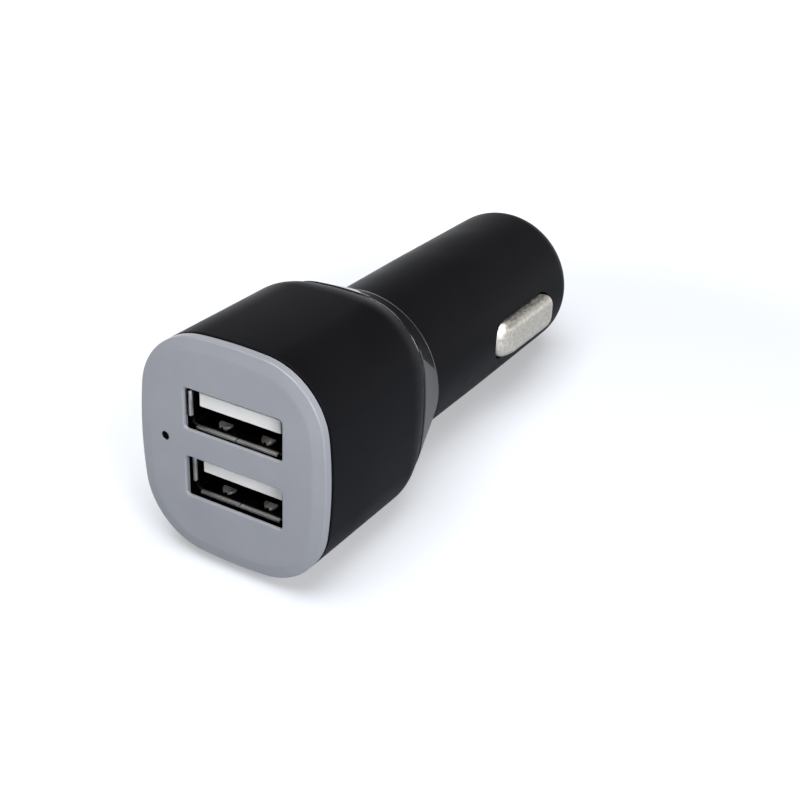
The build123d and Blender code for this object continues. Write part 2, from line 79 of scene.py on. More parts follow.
def surface(name, look):
    # A principled surface, with soft clouds in its roughness and colour and a fine relief, and, where the
    # look asks for it, painted shade deeper in the sockets
    material = bpy.data.materials.new(name)
    material.use_nodes = True
    tree = material.node_tree
    shader = tree.nodes["Principled BSDF"]
    shader.inputs["Metallic"].default_value = look.get("metallic", 0.0)
    for key, value in look.get("shader", {}).items():
        shader.inputs[key].default_value = value
    place = addNode(tree, "ShaderNodeTexCoord")
    stretch = addNode(tree, "ShaderNodeMapping", {"Scale": look.get("stretch", (1, 1, 1))},
                      {"Vector": place.outputs["Object"]})
    cloud = addNode(tree, "ShaderNodeTexNoise", {"Scale": 1 / (look["cloudSize"] * mm)},
                    {"Vector": stretch.outputs["Vector"]})
    patch = addNode(tree, "ShaderNodeMapRange", {"From Min": noiseSpan[0], "From Max": noiseSpan[1]},
                    {"Value": cloud.outputs["Fac"]})
    rough = addNode(tree, "ShaderNodeMapRange",
                    {"To Min": look["roughness"][0], "To Max": look["roughness"][1]},
                    {"Value": patch.outputs["Result"]})
    tree.links.new(rough.outputs["Result"], shader.inputs["Roughness"])
    grain = addNode(tree, "ShaderNodeTexNoise", {"Scale": 1 / (look["grainSize"] * mm)},
                    {"Vector": stretch.outputs["Vector"]})
    relief = addNode(tree, "ShaderNodeBump",
                     {"Strength": look["reliefStrength"], "Distance": look["reliefDepth"] * mm},
                     {"Height": grain.outputs["Fac"]})
    tree.links.new(relief.outputs["Normal"], shader.inputs["Normal"])
    mix = addNode(tree, "ShaderNodeMix", {"data_type": "RGBA"}, {0: patch.outputs["Result"]})
    mix.inputs[6].default_value = hexColour(look["colour"])
    mix.inputs[7].default_value = hexColour(look["tint"])
    colour = mix.outputs[2]
    if "within" in look:
        # painted shade: darker towards the inside, by the depth in millimetres behind the sockets' mouths
        inside = look["within"]
        lean = math.radians(mouths["lean"])
        mouth = addNode(tree, "ShaderNodeMapping",
                        {"Rotation": (lean, 0, 0), "Location": (0, mouths["front"], 0),
                         "Scale": (1 / mm, 1 / mm, 1 / mm)}, {"Vector": place.outputs["Object"]})
        spot = addNode(tree, "ShaderNodeSeparateXYZ", links={"Vector": mouth.outputs["Vector"]})
        depth = addNode(tree, "ShaderNodeMapRange", {"From Min": inside["start"], "From Max": inside["end"]},
                        {"Value": spot.outputs["Y"]})
        share = depth.outputs["Result"]
        if "fingerTips" in inside:
            # the spring fingers' ends are left out of the painted shade, so that they stay bright and catch
            # glints
            tips = inside["fingerTips"]
            shift = addNode(tree, "ShaderNodeMath", {"operation": "SUBTRACT", 1: tips["middle"]},
                            {0: spot.outputs["X"]})
            across = addNode(tree, "ShaderNodeMath", {"operation": "ABSOLUTE"}, {0: shift.outputs["Value"]})
            beside = addNode(tree, "ShaderNodeMath",
                             {"operation": "COMPARE", 1: tips["offset"], 2: tips["halfWidth"]},
                             {0: across.outputs["Value"]})
            behind = addNode(tree, "ShaderNodeMath",
                             {"operation": "COMPARE", 1: tips["depth"], 2: tips["halfDepth"]},
                             {0: spot.outputs["Y"]})
            both = addNode(tree, "ShaderNodeMath", {"operation": "MULTIPLY"},
                           {0: beside.outputs["Value"], 1: behind.outputs["Value"]})
            left = addNode(tree, "ShaderNodeMath", {"operation": "SUBTRACT", "use_clamp": True},
                           {0: share, 1: both.outputs["Value"]})
            share = left.outputs["Value"]
        paintedShade = addNode(tree, "ShaderNodeMix", {"data_type": "RGBA"}, {0: share, 6: colour})
        paintedShade.inputs[7].default_value = hexColour(inside["colour"])
        colour = paintedShade.outputs[2]
    tree.links.new(colour, shader.inputs["Base Color"])
    return material


looks = {
    # moulded grey plastic, spark-eroded fine: a soft sheen with no clear reflections. Its grain, and that of
    # the black plastic, is really 0.05 mm and is drawn coarser here so that it shows
    "platePlastic": {
        "colour": "#888a91", "tint": "#8d8f95", "roughness": (0.29, 0.34), "cloudSize": 6.0,
        "grainSize": 0.25, "reliefStrength": 0.12, "reliefDepth": 0.006, "shader": {"IOR": 1.49}},
    # black plastic with a fine matt grain: no clear reflections, bright only where it is seen edge on
    "satinBlackPlastic": {
        "colour": "#0b0b0e", "tint": "#0e0e11", "roughness": (0.4, 0.48), "cloudSize": 8.0, "grainSize": 0.25,
        "reliefStrength": 0.2, "reliefDepth": 0.01,
        "shader": {"IOR": 1.5, "Specular IOR Level": 0.045, "Sheen Weight": 0.09, "Sheen Roughness": 0.18}},
    # black plastic from a polished mould: mirror-like, sharp edges to its reflections
    "polishedBlackPlastic": {
        "colour": "#0c0c0d", "tint": "#0e0e0f", "roughness": (0.05, 0.09), "cloudSize": 10.0,
        "grainSize": 0.4, "reliefStrength": 0.05, "reliefDepth": 0.002,
        "shader": {"IOR": 1.49, "Specular IOR Level": 0.36}},
    # nickel plate on drawn strip: warm grey metal with a soft sheen, mottled and rubbed dull along its length
    "nickelPlate": {
        "colour": "#c1bcb2", "tint": "#ddd9d0", "metallic": 1.0, "roughness": (0.36, 0.52), "cloudSize": 0.35,
        "grainSize": 0.15, "reliefStrength": 0.25, "reliefDepth": 0.006, "stretch": (1, 0.5, 1)},
    # tinned steel sheet: bright at its sheared mouth and at the fingers' ends, with painted shade inside the
    # socket
    "tinnedSteel": {
        "colour": "#ecece9", "tint": "#f3f3f1", "metallic": 1.0, "roughness": (0.28, 0.36), "cloudSize": 1.5,
        "grainSize": 0.08, "reliefStrength": 0.2, "reliefDepth": 0.004, "stretch": (1, 0.2, 1),
        "within": {"start": 0.12, "end": 0.36, "colour": "#222223",
                   "fingerTips": {"middle": 0.5, "offset": 3.0, "halfWidth": 1.15,
                                  "depth": 1.7, "halfDepth": 0.5}}},
    # white moulded nylon: bright and slightly waxy, with painted shade deep in the socket
    "whiteNylon": {
        "colour": "#e9e8e4", "tint": "#f0efec", "roughness": (0.38, 0.46), "cloudSize": 3.0, "grainSize": 0.1,
        "reliefStrength": 0.15, "reliefDepth": 0.004, "shader": {"IOR": 1.53},
        "within": {"start": 3.5, "end": 6.0, "colour": "#242423"}},
    # gold flash over nickel: bright yellow in front, with painted shade further in
    "goldFlash": {
        "colour": "#d9b25a", "tint": "#e2bf6c", "metallic": 1.0, "roughness": (0.2, 0.26), "cloudSize": 0.8,
        "grainSize": 0.05, "reliefStrength": 0.1, "reliefDepth": 0.002,
        "within": {"start": 3.5, "end": 6.0, "colour": "#2b2415"}},
    # hard drawn spring wire: plain grey metal
    "springWire": {
        "colour": "#a9a9aa", "tint": "#b4b4b5", "metallic": 1.0, "roughness": (0.28, 0.36), "cloudSize": 0.5,
        "grainSize": 0.04, "reliefStrength": 0.2, "reliefDepth": 0.003},
    # stamped brass sheet: yellow, with a soft sheen
    "stampedBrass": {
        "colour": "#c9a45a", "tint": "#d3af68", "metallic": 1.0, "roughness": (0.28, 0.36), "cloudSize": 1.5,
        "grainSize": 0.08, "reliefStrength": 0.2, "reliefDepth": 0.003},
    # glass laminate under green lacquer: smooth, with a faint waviness
    "lacqueredLaminate": {
        "colour": "#1f5a34", "tint": "#236239", "roughness": (0.3, 0.4), "cloudSize": 2.0, "grainSize": 0.3,
        "reliefStrength": 0.2, "reliefDepth": 0.01, "shader": {"IOR": 1.5}},
    # sintered ferrite: dark grey, dull
    "sinteredFerrite": {
        "colour": "#3a3a3d", "tint": "#434346", "roughness": (0.5, 0.65), "cloudSize": 0.8, "grainSize": 0.1,
        "reliefStrength": 0.3, "reliefDepth": 0.01, "shader": {"IOR": 1.5}},
    # enamelled copper wire, wound in rows: red-brown, ridged round the coil
    "enamelledCopper": {
        "colour": "#b5642c", "tint": "#c06d33", "metallic": 1.0, "roughness": (0.28, 0.36), "cloudSize": 0.6,
        "grainSize": 0.3, "reliefStrength": 0.6, "reliefDepth": 0.05, "stretch": (0.05, 0.05, 1)},
    # drawn aluminium can: pale, streaked along its draw
    "drawnAluminium": {
        "colour": "#d0d1d4", "tint": "#dadbdd", "metallic": 1.0, "roughness": (0.28, 0.36), "cloudSize": 1.5,
        "grainSize": 0.1, "reliefStrength": 0.15, "reliefDepth": 0.003, "stretch": (1, 1, 0.15)},
    # moulded black epoxy: charcoal, matt
    "mouldedEpoxy": {
        "colour": "#232324", "tint": "#2a2a2b", "roughness": (0.5, 0.6), "cloudSize": 0.8, "grainSize": 0.06,
        "reliefStrength": 0.4, "reliefDepth": 0.01, "shader": {"IOR": 1.5}},
    # smoked epoxy lens, dark while the lamp is off
    "smokedEpoxy": {
        "colour": "#101112", "tint": "#151617", "roughness": (0.28, 0.34), "cloudSize": 1.0, "grainSize": 0.2,
        "reliefStrength": 0.05, "reliefDepth": 0.002, "shader": {"IOR": 1.52, "Specular IOR Level": 0.12}},
    # fired ceramic: tan, matt
    "firedCeramic": {
        "colour": "#9c8566", "tint": "#a58e70", "roughness": (0.4, 0.5), "cloudSize": 0.5, "grainSize": 0.05,
        "reliefStrength": 0.2, "reliefDepth": 0.005, "shader": {"IOR": 1.6}},
}
materials = {name: surface(name, look) for name, look in looks.items()}
print("stage: materials made")


def makePiece(piece, verts, faces):
    # A smooth-shaded mesh, crisp only at its real edges, laid down with the plug
    mesh = bpy.data.meshes.new(piece["name"])
    mesh.from_pydata([tuple(v) for v in verts], [], faces)
    mesh.transform(toRow)
    work = bmesh.new()
    work.from_mesh(mesh)
    bmesh.ops.remove_doubles(work, verts=work.verts, dist=0.0001 * mm)
    bmesh.ops.recalc_face_normals(work, faces=work.faces)
    work.to_mesh(mesh)
    work.free()
    mesh.shade_smooth()
    mesh.set_sharp_from_angle(angle=sharpTurn)
    mesh.materials.append(materials[piece["material"]])
    obj = bpy.data.objects.new(piece["name"], mesh)
    bpy.context.collection.objects.link(obj)
    return obj


def finishPiece(piece, obj):
    # Even shading, and what the piece rides on and stands for
    normals = obj.modifiers.new("evenNormals", "WEIGHTED_NORMAL")
    normals.keep_sharp = True
    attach(obj, piece["body"])
    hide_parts(piece["node"])


def bridge(rings):
    # Quads between closed rings of equal length
    verts = []
    faces = []
    for ring in rings:
        verts.extend(ring)
    count = len(rings[0])
    for r in range(len(rings) - 1):
        for i in range(count):
            j = (i + 1) % count
            faces.append((r * count + i, r * count + j, (r + 1) * count + j, (r + 1) * count + i))
    return verts, faces


def arcSteps(start, end, steps):
    return [math.radians(start + (end - start) * i / steps) for i in range(steps + 1)]


def roundRing(radius, depth, count):
    return [Vector((radius * math.cos(a), depth, radius * math.sin(a))) for a in arcSteps(0, 360, count)[:-1]]


def turnedRings(profile, count):
    return [roundRing(radius, depth, count) for radius, depth in profile]


def headRing(halfWidth, halfHeight, corner, depth, inset=0.0):
    # Eight tangent arcs, bowed sides and round corners. An inset gives the parallel outline, and
    # width, height and corner of one size give a circle.
    sideBow = 6.46
    topBow = 4.53
    side = math.radians(sideBow)
    top = math.radians(topBow)
    acrossRoom = halfWidth - corner
    upwardRoom = halfHeight - corner
    share = math.sin(side) * math.sin(top) - (1 - math.cos(side)) * (1 - math.cos(top))
    sideExcess = (upwardRoom * math.sin(top) - acrossRoom * (1 - math.cos(top))) / share
    topExcess = (acrossRoom * math.sin(side) - upwardRoom * (1 - math.cos(side))) / share
    radius = corner - inset
    cornerX = topExcess * math.sin(top)
    cornerZ = sideExcess * math.sin(side)
    points = []
    for turn, flip in ((0, 1), (180, -1)):
        upper = turn + 90
        arcs = (
            (flip * (acrossRoom - sideExcess), 0, radius + sideExcess, turn - sideBow, turn + sideBow, 12),
            (flip * cornerX, flip * cornerZ, radius, turn + sideBow, upper - topBow, 30),
            (0, flip * (upwardRoom - topExcess), radius + topExcess, upper - topBow, upper + topBow, 10),
            (-flip * cornerX, flip * cornerZ, radius, upper + topBow, turn + 180 - sideBow, 30),
        )
        for x, z, size, start, end, steps in arcs:
            for a in arcSteps(start, end, steps)[:-1]:
                points.append(Vector((x + size * math.cos(a), depth, z + size * math.sin(a))))
    return points


head = {
    "name": "headSkin", "node": "head_housing", "body": "plug", "slot": "body_plastic",
    "material": "satinBlackPlastic", "halfWidth": 12.998, "halfHeight": 14.098, "corner": 8.798,
    "start": 0.25, "length": 21.0, "shoulder": 3.6, "shoulderInset": 0.8, "rearCorner": 9.2,
    "mouthWall": 1.5, "mouthDepth": 2.5, "edgeRound": 0.2, "rearRound": 0.1, "bore": 10.05, "rearWall": 2.0,
    "sideRows": 8, "shoulderRows": 20,
}


def headRings(h):
    # From the mouth round the front edge, along the sides, over the shoulder and back through the inside
    def row(inset, depth):
        return headRing(h["halfWidth"], h["halfHeight"], h["corner"], depth, inset)

    def rearRow(turn, depth, inset=0.0):
        blend = turn * turn
        drawn = h["shoulderInset"] * blend
        corner = h["corner"] + (h["rearCorner"] - h["corner"]) * blend
        return headRing(h["halfWidth"] - drawn, h["halfHeight"] - drawn, corner, depth, inset)

    rings = [row(h["mouthWall"], h["mouthDepth"]), row(h["mouthWall"], h["start"])]
    edge = h["edgeRound"]
    for a in arcSteps(0, 90, 5):
        rings.append(row(edge * (1 - math.sin(a)), h["start"] + edge * (1 - math.cos(a))))
    begin = h["length"] - h["shoulder"]
    for i in range(1, h["sideRows"] + 1):
        rings.append(row(0, h["start"] + edge + (begin - h["start"] - edge) * i / h["sideRows"]))
    rear = h["rearRound"]
    for i in range(1, h["shoulderRows"] + 1):
        turn = i / h["shoulderRows"] * (1 - rear / h["shoulder"])
        rings.append(rearRow(turn, begin + h["shoulder"] * turn))
    for a in arcSteps(0, 90, 4)[1:]:
        rings.append(rearRow(1, h["length"] - rear * (1 - math.sin(a)), rear * (1 - math.cos(a))))
    inner = h["length"] - h["rearWall"]
    rings += [headRing(h["bore"], h["bore"], h["bore"], depth) for depth in (h["length"], inner)]
    return rings + [row(h["mouthWall"], inner), rings[0]]


finishPiece(head, makePiece(head, *bridge(headRings(head))))
print("stage: head")

plate = {
    "name": "platePanel", "node": "faceplate", "body": "plug", "slot": "plate_plastic",
    "material": "platePlastic", "halfWidth": 12.99, "halfHeight": 14.09, "corner": 8.79, "proud": 1.4,
    "crownWidth": 1.6, "crownDrop": 0.32, "crownRoll": 0.45, "rollRows": 6, "edgeRound": 0.2,
    "backRound": 0.08, "lip": 1.65, "lipDepth": 2.5, "lipWall": 0.4, "flatRow": 0.2,
    "windowWidth": 13.6, "windowHeight": 5.2, "windowCorner": 0.5, "windowRound": 0.2, "windowX": 0.5,
    "windowZ": (4.85, -3.95), "web": 0.35, "pocketWidth": 14.8, "pocketHeight": 7.42, "pocketCorner": 0.1,
    "pocketLift": 0.3, "lampX": -9.2, "lampZ": 0.3, "lampHole": 0.55, "lampRound": 0.06, "lampWeb": 0.13,
    "lampPocket": 1.6, "lampCount": 40,
}


def windowRing(width, height, corner, x, z, depth):
    # Rounded rectangle about (x, z)
    ring = []
    for quarter, (sx, sz) in enumerate(((1, 1), (-1, 1), (-1, -1), (1, -1))):
        for a in arcSteps(90 * quarter, 90 * quarter + 90, 8):
            ring.append(Vector((x + sx * (width / 2 - corner) + corner * math.cos(a), depth,
                                z + sz * (height / 2 - corner) + corner * math.sin(a))))
    return ring


def plateRim(p):
    # Flat, then a soft roll to the sloping crown, a small round, the side wall and the lip behind it
    def row(inset, depth):
        return headRing(p["halfWidth"], p["halfHeight"], p["corner"], depth, inset)

    front = -p["proud"]
    slope = p["crownDrop"] / p["crownWidth"]
    roll = p["crownRoll"]
    edge = p["edgeRound"]
    rings = [row(p["crownWidth"] + roll / 2 + p["flatRow"], front)]
    for i in range(p["rollRows"] + 1):
        t = i / p["rollRows"]
        rings.append(row(p["crownWidth"] + roll / 2 - roll * t, front + slope * roll / 2 * t * t))
    lean = math.atan(slope)
    begin = edge * (1 - math.sin(lean))
    depth = front + slope * (p["crownWidth"] - begin)
    for a in arcSteps(math.degrees(lean), 90, 9):
        rings.append(row(edge * (1 - math.sin(a)), depth + edge * (math.cos(lean) - math.cos(a))))
    back = p["backRound"]
    within = p["lip"] + p["lipWall"]
    rings += [row(0, -back), row(back, 0), row(p["lip"], 0), row(p["lip"], p["lipDepth"])]
    return rings + [row(within, p["lipDepth"]), row(within, 0)]


def plateWindow(p, z):
    # A window with a rounded edge, and the socket's pocket behind its web
    def row(grow, depth):
        return windowRing(p["windowWidth"] + 2 * grow, p["windowHeight"] + 2 * grow, p["windowCorner"] + grow,
                          p["windowX"], z, depth)

    def pocketRow(depth):
        return windowRing(p["pocketWidth"], p["pocketHeight"], p["pocketCorner"], p["windowX"],
                          z + p["pocketLift"], depth)

    front = -p["proud"]
    size = p["windowRound"]
    rings = [row(size + p["flatRow"], front)]
    for a in arcSteps(0, 90, 6):
        rings.append(row(size * (1 - math.sin(a)), front + size * (1 - math.cos(a))))
    return rings + [row(0, front + p["web"]), pocketRow(front + p["web"]), pocketRow(0.0)]


def lampHole(p):
    # The indicator hole with a rounded edge, and the lamp's pocket behind its web
    at = Vector((p["lampX"], 0, p["lampZ"]))
    size = p["lampRound"]
    front = -p["proud"]
    back = front + p["lampWeb"]
    profile = [(p["lampHole"] + size + p["flatRow"], front)]
    for a in arcSteps(0, 90, 4):
        profile.append((p["lampHole"] + size * (1 - math.sin(a)), front + size * (1 - math.cos(a))))
    profile += [(p["lampHole"], back), (p["lampPocket"], back), (p["lampPocket"], 0.0)]
    return [[v + at for v in ring] for ring in turnedRings(profile, p["lampCount"])]


def platePieces(p):
    # The rim, the windows and the hole are rows of quads, and the front and back between them are filled flat
    work = bmesh.new()
    flats = ([], [])
    for rings in [plateRim(p), lampHole(p)] + [plateWindow(p, z) for z in p["windowZ"]]:
        rows = [[work.verts.new(v) for v in ring] for ring in rings]
        count = len(rows[0])
        for a, b in zip(rows, rows[1:]):
            for i in range(count):
                j = (i + 1) % count
                work.faces.new((a[i], a[j], b[j], b[i]))
        for flat, ring in zip(flats, (rows[0], rows[-1])):
            for i in range(count):
                flat.append(work.edges.get((ring[i], ring[(i + 1) % count])))
    for flat in flats:
        bmesh.ops.triangle_fill(work, use_beauty=True, use_dissolve=False, edges=flat)
    work.verts.index_update()
    verts = [v.co.copy() for v in work.verts]
    faces = [tuple(v.index for v in f.verts) for f in work.faces]
    work.free()
    return verts, faces


finishPiece(plate, makePiece(plate, *platePieces(plate)))
print("stage: plate")

collar = {
    "name": "trimCollar", "node": "trim_ring", "body": "plug", "slot": "ring_plastic",
    "material": "polishedBlackPlastic", "bore": 10.05, "start": 21.0, "end": 26.73, "halfWidth": 12.2,
    "halfHeight": 13.3, "corner": 9.2, "proud": 0.1, "rearRadius": 11.14, "edgeRound": 0.25, "rows": 12,
}


def collarRings(c):
    # Ruled from the squared front to the round rear, both edges rounded
    edge = c["edgeRound"]

    def row(share, depth, inset=0.0):
        drawn = [c[key] + c["proud"] + (c["rearRadius"] - c[key] - c["proud"]) * share
                 for key in ("halfWidth", "halfHeight", "corner")]
        return headRing(*drawn, depth, inset)

    bore = [headRing(c["bore"], c["bore"], c["bore"], depth) for depth in (c["start"], c["end"])]
    rings = [bore[0]]
    for a in arcSteps(0, 90, 6):
        rings.append(row(0, c["start"] + edge * (1 - math.cos(a)), edge * (1 - math.sin(a))))
    for i in range(1, c["rows"]):
        share = i / c["rows"]
        rings.append(row(share, c["start"] + edge + (c["end"] - c["start"] - 2 * edge) * share))
    for a in arcSteps(90, 0, 6):
        rings.append(row(1, c["end"] - edge * (1 - math.cos(a)), edge * (1 - math.sin(a))))
    return rings + [bore[1], bore[0]]


finishPiece(collar, makePiece(collar, *bridge(collarRings(collar))))
print("stage: trim ring")

barrel = {
    "name": "barrelSkin", "node": "barrel", "body": "plug", "slot": "body_plastic",
    "material": "satinBlackPlastic", "start": 26.73, "radius": 10.378, "taperStart": 43.5,
    "noseRadius": 10.197, "noseStart": 64.5, "noseRound": 4.5, "noseFlat": 4.6, "noseEnd": 69.0, "hole": 2.95,
    "holeRound": 0.2, "inner": 8.43, "spigot": 10.0, "spigotLength": 8.0, "guideEnd": 65.1,
    "windowClearance": 0.35, "windowSpan": (5.5, 14.0), "straightRows": 12, "taperRows": 16, "count": 160,
}
# Each contact's pad with its leaf, the same on both sides; a corner has its size along and across
pad = {
    "start": 43.8, "length": 16.3, "width": 5.0, "crown": 11.58, "round": 1.15, "drop": 1.5, "nearRamp": 4.0,
    "farRamp": 2.2, "nearCorner": (2.0, 2.3), "farCorner": (3.0, 2.4), "leastCorner": 0.02, "base": 7.73,
    "inner": 7.33, "innerInset": 0.3, "seatMargin": 0.4, "backInsets": (1.4, 1.8, 2.15), "leafWidth": 3.4,
    "leafOverlap": 1.0, "root": 24.0, "lugInner": 4.83, "lugLength": 2.2, "lugBottom": -1.3, "lugTop": -0.9,
    "cornerSteps": 10, "sideSteps": 40, "farSteps": 3, "nearSteps": 6,
}


def barrelProfile(b):
    # Spigot, straight run, slight taper, rounded nose with the tip's hole, and the bore
    front = b["start"] - b["spigotLength"]
    points = [(b["inner"], front), (b["spigot"], front), (b["spigot"], b["start"]), (b["radius"], b["start"])]
    for i in range(1, b["straightRows"] + 1):
        points.append((b["radius"], b["start"] + (b["taperStart"] - b["start"]) * i / b["straightRows"]))
    for i in range(1, b["taperRows"] + 1):
        t = i / b["taperRows"]
        points.append((b["radius"] + (b["noseRadius"] - b["radius"]) * t,
                       b["taperStart"] + (b["noseStart"] - b["taperStart"]) * t))
    # from 4 degrees on, since the taper ends where the arc begins
    for a in arcSteps(4, 90, 22):
        points.append((b["noseFlat"] + (b["noseRadius"] - b["noseFlat"]) * math.cos(a),
                       b["noseStart"] + b["noseRound"] * math.sin(a)))
    points += [(b["hole"] + b["holeRound"], b["noseEnd"]), (b["hole"], b["noseEnd"] - b["holeRound"]),
               (b["hole"], b["guideEnd"]), (b["inner"], b["guideEnd"]), (b["inner"], front)]
    return points


def padPlan(p, inset):
    # (along, across) points of a contact's plan, rounder at its far end; a corner is an ellipse quarter
    half = p["width"] / 2 - inset
    near = p["start"] + inset
    far = p["start"] + p["length"] - inset
    nearSize = [max(size - inset, p["leastCorner"]) for size in p["nearCorner"]]
    farSize = [max(size - inset, p["leastCorner"]) for size in p["farCorner"]]
    first = near + nearSize[0]
    last = far - farSize[0]

    def turn(begin, size, along, across):
        return [(along + size[0] * math.cos(a), across + size[1] * math.sin(a))
                for a in arcSteps(begin, begin + 90, p["cornerSteps"])]

    def run(fromPoint, toPoint, steps):
        return [tuple(u + (v - u) * i / steps for u, v in zip(fromPoint, toPoint)) for i in range(1, steps)]

    nearLow = turn(180, nearSize, first, nearSize[1] - half)
    farLow = turn(270, farSize, last, farSize[1] - half)
    farHigh = turn(0, farSize, last, half - farSize[1])
    nearHigh = turn(90, nearSize, first, half - nearSize[1])
    return (nearLow + run(nearLow[-1], farLow[0], p["sideSteps"])
            + farLow + run(farLow[-1], farHigh[0], p["farSteps"])
            + farHigh + run(farHigh[-1], nearHigh[0], p["sideSteps"])
            + nearHigh + run(nearHigh[-1], nearLow[0], p["nearSteps"]))


def cutWindows(obj, b):
    # Both contact windows, cut clean through the wall
    for side in (1, -1):
        outline = padPlan(pad, -b["windowClearance"])
        rings = [[Vector((side * x, along, across)) for along, across in outline] for x in b["windowSpan"]]
        verts, faces = bridge(rings)
        count = len(outline)
        faces.append(tuple(range(count)))
        faces.append(tuple(range(count, 2 * count)))
        cutter = makePiece({"name": "windowCutter", "material": "satinBlackPlastic"}, verts, faces)
        cut = obj.modifiers.new("window", "BOOLEAN")
        cut.operation = "DIFFERENCE"
        cut.solver = "EXACT"
        cut.object = cutter
        bpy.context.view_layer.update()
        shape = bpy.data.meshes.new_from_object(obj.evaluated_get(bpy.context.evaluated_depsgraph_get()))
        obj.modifiers.remove(cut)
        obj.data = shape
        bpy.data.objects.remove(cutter)
    obj.data.name = obj.name
    obj.data.shade_smooth()
    obj.data.set_sharp_from_angle(angle=sharpTurn)


barrelObject = makePiece(barrel, *bridge(turnedRings(barrelProfile(barrel), barrel["count"])))
cutWindows(barrelObject, barrel)
finishPiece(barrel, barrelObject)
print("stage: barrel")


def archDrop(p, along):
    # How far the pad's back lies under its crown, from the round ramps at both ends
    for ramp, reach in ((p["nearRamp"], p["start"] + p["nearRamp"] - along),
                        (p["farRamp"], along - p["start"] - p["length"] + p["farRamp"])):
        if reach > 0:
            radius = (ramp ** 2 + p["drop"] ** 2) / (2 * p["drop"])
            return radius - math.sqrt(radius ** 2 - min(reach, ramp) ** 2)
    return 0.0


def padRings(p, side):
    # From the flat inner face over its seat and up the round edge to the arched back
    rings = []

    def flatRow(inset, x):
        rings.append([Vector((side * x, along, across)) for along, across in padPlan(p, inset)])

    def archRow(inset, drop):
        rings.append([Vector((side * (p["crown"] - drop - archDrop(p, along)), along, across))
                      for along, across in padPlan(p, inset)])

    flatRow(p["innerInset"], p["inner"])
    flatRow(-p["seatMargin"], p["inner"])
    flatRow(-p["seatMargin"], p["base"])
    flatRow(0.0, p["base"])
    for a in arcSteps(0, 90, 10):
        archRow(p["round"] * (1 - math.cos(a)), p["round"] * (1 - math.sin(a)))
    for inset in p["backInsets"]:
        archRow(inset, 0.0)
    return rings


def padCap(p, first):
    # Faces straight across one of the pad's rows, whose points are in padPlan's order
    side = 2 * p["cornerSteps"] + p["sideSteps"]
    high = side + p["farSteps"]
    end = high + side
    strips = [(s, s + 1, end - 1 - s, end - s) for s in range(side)]
    strips += [tuple(range(side, high + 1)), (0,) + tuple(range(end, end + p["nearSteps"]))]
    return [tuple(first + i for i in strip) for strip in strips]


def leafBoxes(p, side):
    # Leaf strip from the pad back to its soldered lug
    leafEnd = p["start"] + p["leafOverlap"]
    lugEnd = p["root"] + p["lugLength"]
    half = p["leafWidth"] / 2
    spans = [((p["inner"], p["base"]), (p["root"], leafEnd), (-half, half)),
             ((p["lugInner"], p["base"]), (p["root"], lugEnd), (p["lugBottom"], p["lugTop"]))]
    verts = []
    faces = []
    for xs, ys, zs in spans:
        first = len(verts)
        for x in xs:
            for y in ys:
                for z in zs:
                    verts.append(Vector((side * x, y, z)))
        for quad in ((0, 1, 3, 2), (4, 5, 7, 6), (0, 1, 5, 4), (2, 3, 7, 6), (0, 2, 6, 4), (1, 3, 7, 5)):
            faces.append(tuple(first + q for q in quad))
    return verts, faces


for sideName, side in (("right", 1), ("left", -1)):
    contact = {"name": sideName + "Contact", "node": "side_contact_" + sideName,
               "body": sideName + "_contact", "slot": "contact_nickel", "material": "nickelPlate"}
    rings = padRings(pad, side)
    verts, faces = bridge(rings)
    faces += padCap(pad, 0) + padCap(pad, len(verts) - len(rings[0]))
    leafVerts, leafFaces = leafBoxes(pad, side)
    offset = len(verts)
    verts += leafVerts
    faces += [tuple(offset + i for i in f) for f in leafFaces]
    finishPiece(contact, makePiece(contact, verts, faces))
print("stage: side contacts")

tip = {
    "name": "tipPin", "node": "tip_contact", "body": "tip", "slot": "contact_nickel",
    "material": "nickelPlate", "radius": 2.9, "end": 73.999, "round": 2.4, "flat": 0.5, "flangeRadius": 4.2,
    "flangeStart": 64.05, "flangeEnd": 65.05, "stubRadius": 2.2, "stubStart": 61.85, "count": 72,
}


def tipProfile(t):
    # Stub inside the spring, flange, and a pin with a domed end
    points = [(0.0, t["stubStart"]), (t["stubRadius"], t["stubStart"]), (t["stubRadius"], t["flangeStart"]),
              (t["flangeRadius"], t["flangeStart"]), (t["flangeRadius"], t["flangeEnd"]),
              (t["radius"], t["flangeEnd"])]
    for a in arcSteps(0, 90, 16):
        points.append((t["flat"] + t["round"] * math.cos(a), t["end"] - t["round"] * (1 - math.sin(a))))
    return points + [(0.0, t["end"])]


finishPiece(tip, makePiece(tip, *bridge(turnedRings(tipProfile(tip), tip["count"]))))
print("stage: tip")

spring = {
    "name": "tipSpring", "node": "tip_spring", "body": "plug", "slot": "spring_steel",
    "material": "springWire", "start": 56.7, "rise": 7.0, "turns": 4, "radius": 3.3, "wire": 0.25,
    "turnSteps": 36, "wireSides": 12, "joint": "tip_press", "pressed": 0.53,
}


def springShape(s):
    # Round wire along a helix, closed at both ends
    rings = []
    steps = s["turns"] * s["turnSteps"]
    sides = s["wireSides"]
    climb = s["rise"] / s["turns"] / (2 * math.pi * s["radius"])
    for i, turn in enumerate(arcSteps(0, 360 * s["turns"], steps)):
        outward = Vector((math.cos(turn), 0, math.sin(turn)))
        upward = Vector((-math.sin(turn), climb, math.cos(turn))).cross(outward).normalized()
        middle = outward * s["radius"] + Vector((0, s["start"] + s["rise"] * i / steps, 0))
        rings.append([middle + (outward * math.cos(a) + upward * math.sin(a)) * s["wire"]
                      for a in arcSteps(0, 360, sides)[:-1]])
    verts, faces = bridge(rings)
    return verts, faces + [tuple(range(sides)), tuple(range(len(verts) - sides, len(verts)))]


springObject = makePiece(spring, *springShape(spring))
finishPiece(spring, springObject)
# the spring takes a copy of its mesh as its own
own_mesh(springObject)
print("stage: tip spring")

